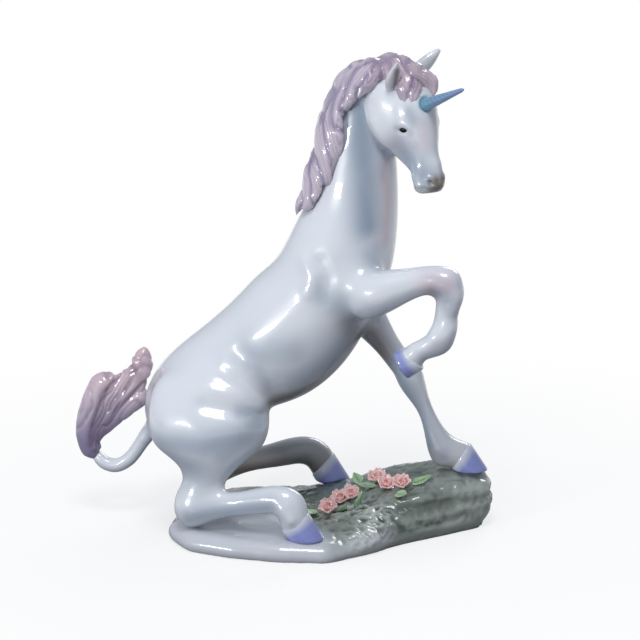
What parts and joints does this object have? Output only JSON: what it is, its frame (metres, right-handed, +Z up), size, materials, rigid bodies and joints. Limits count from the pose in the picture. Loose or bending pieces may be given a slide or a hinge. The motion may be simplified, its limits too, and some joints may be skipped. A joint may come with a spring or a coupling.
{
  "type": "unicorn figurine",
  "caption": "Glazed porcelain unicorn seated on its haunches with a raised foreleg, on a hollow rock base that carries hand-made flowers and leaves and stands on a flat foot.",
  "frame": {"origin": "middle of the rock base's flat foot, on the surface that it stands on", "axes": "+Z up, +X the way the unicorn faces, +Y the unicorn's left side"},
  "size_m": [0.2112, 0.1019, 0.2466],
  "materials": {
    "white_glaze": "hand-painted and high-gloss glazed porcelain",
    "mane_glaze": "hand-painted and high-gloss glazed porcelain",
    "tail_glaze": "hand-painted and high-gloss glazed porcelain",
    "horn_glaze": "hand-painted and high-gloss glazed porcelain",
    "hoof_glaze": "hand-painted and high-gloss glazed porcelain",
    "rock_glaze": "hand-painted and high-gloss glazed porcelain",
    "petal_glaze": "hand-painted and high-gloss glazed porcelain",
    "leaf_glaze": "hand-painted and high-gloss glazed porcelain",
    "eye_glaze": "hand-painted and high-gloss glazed porcelain"
  },
  "bodies": {
    "root": {"flower_1": "petal_glaze", "flower_2": "petal_glaze", "flower_3": "petal_glaze", "flower_4": "petal_glaze", "flower_5": "petal_glaze", "flower_6": "petal_glaze", "forelock_1": "mane_glaze", "forelock_2": "mane_glaze", "forelock_3": "mane_glaze", "head": "white_glaze", "horn": "horn_glaze", "leaf_1": "leaf_glaze", "leaf_2": "leaf_glaze", "leaf_3": "leaf_glaze", "leaf_4": "leaf_glaze", "leaf_5": "leaf_glaze", "leaf_6": "leaf_glaze", "leaf_7": "leaf_glaze", "left_ear": "white_glaze", "left_fore_hoof": "hoof_glaze", "left_fore_shank": "white_glaze", "left_fore_upper": "white_glaze", "left_hind_hoof": "hoof_glaze", "left_hind_shank": "white_glaze", "left_hind_upper": "white_glaze", "mane_lock_1": "mane_glaze", "mane_lock_2": "mane_glaze", "mane_lock_3": "mane_glaze", "mane_lock_4": "mane_glaze", "mane_lock_5": "mane_glaze", "mane_lock_6": "mane_glaze", "mane_lock_7": "mane_glaze", "mane_lock_8": "mane_glaze", "neck": "white_glaze", "right_ear": "white_glaze", "right_fore_hoof": "hoof_glaze", "right_fore_shank": "white_glaze", "right_fore_upper": "white_glaze", "right_hind_hoof": "hoof_glaze", "right_hind_shank": "white_glaze", "right_hind_upper": "white_glaze", "rock_base": "rock_glaze", "tail_dock": "white_glaze", "tail_lock_inner": "tail_glaze", "tail_lock_middle": "tail_glaze", "tail_lock_outer": "tail_glaze", "torso": "white_glaze"}
  },
  "joints": []
}
